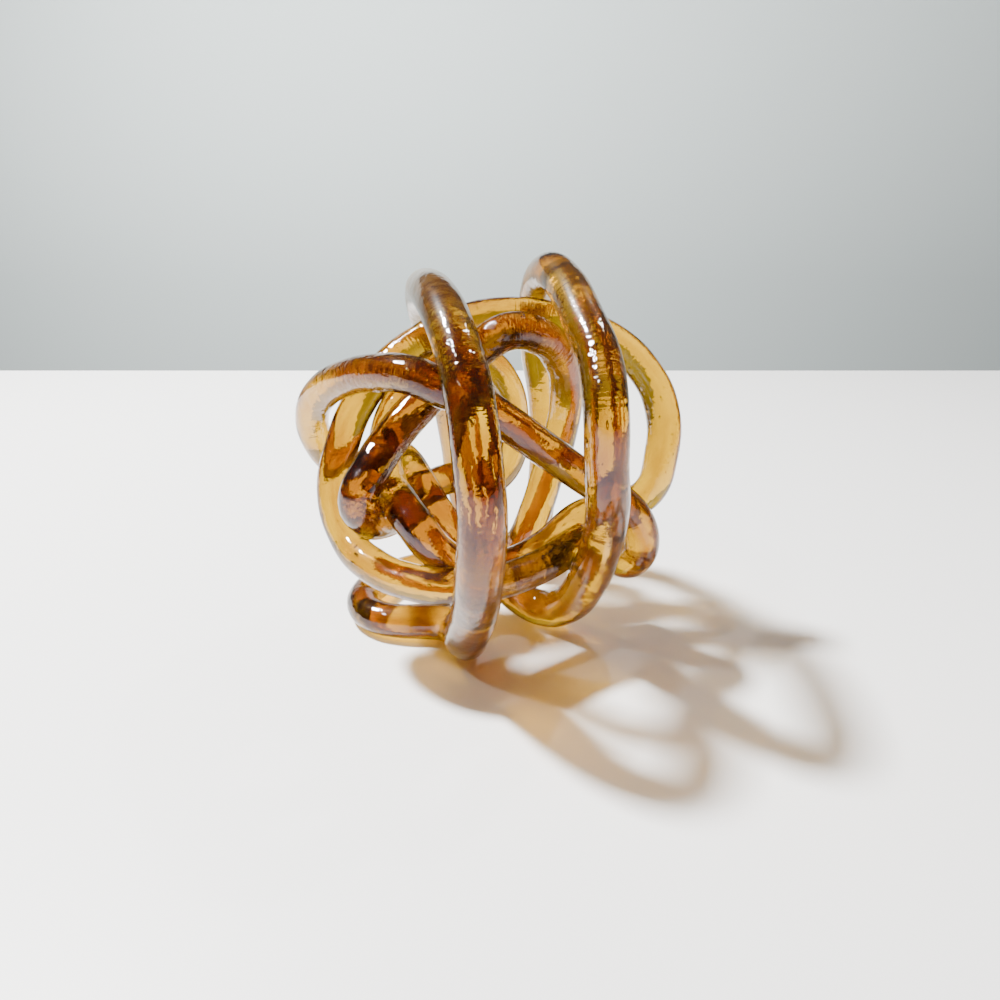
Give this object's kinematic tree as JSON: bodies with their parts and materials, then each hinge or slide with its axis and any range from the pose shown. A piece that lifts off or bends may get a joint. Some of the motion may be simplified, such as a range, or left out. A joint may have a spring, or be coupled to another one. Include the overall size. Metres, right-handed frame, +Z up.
{
  "type": "art glass ball",
  "caption": "hollow decorative ball wound from one long amber glass rod, open between its hoops and rings",
  "frame": {"origin": "on the floor plane under the middle of the ball's bounding box", "axes": "+Z up from the floor; +X along the longest extent, to the right seen from the open front; -Y faces the front"},
  "size_m": [0.144, 0.1386, 0.143],
  "materials": {
    "amber_glass": "clear amber glass with a thin mauve lustre and sealed bubbles"
  },
  "bodies": {
    "root": {"glass_knot": "amber_glass"}
  },
  "joints": []
}
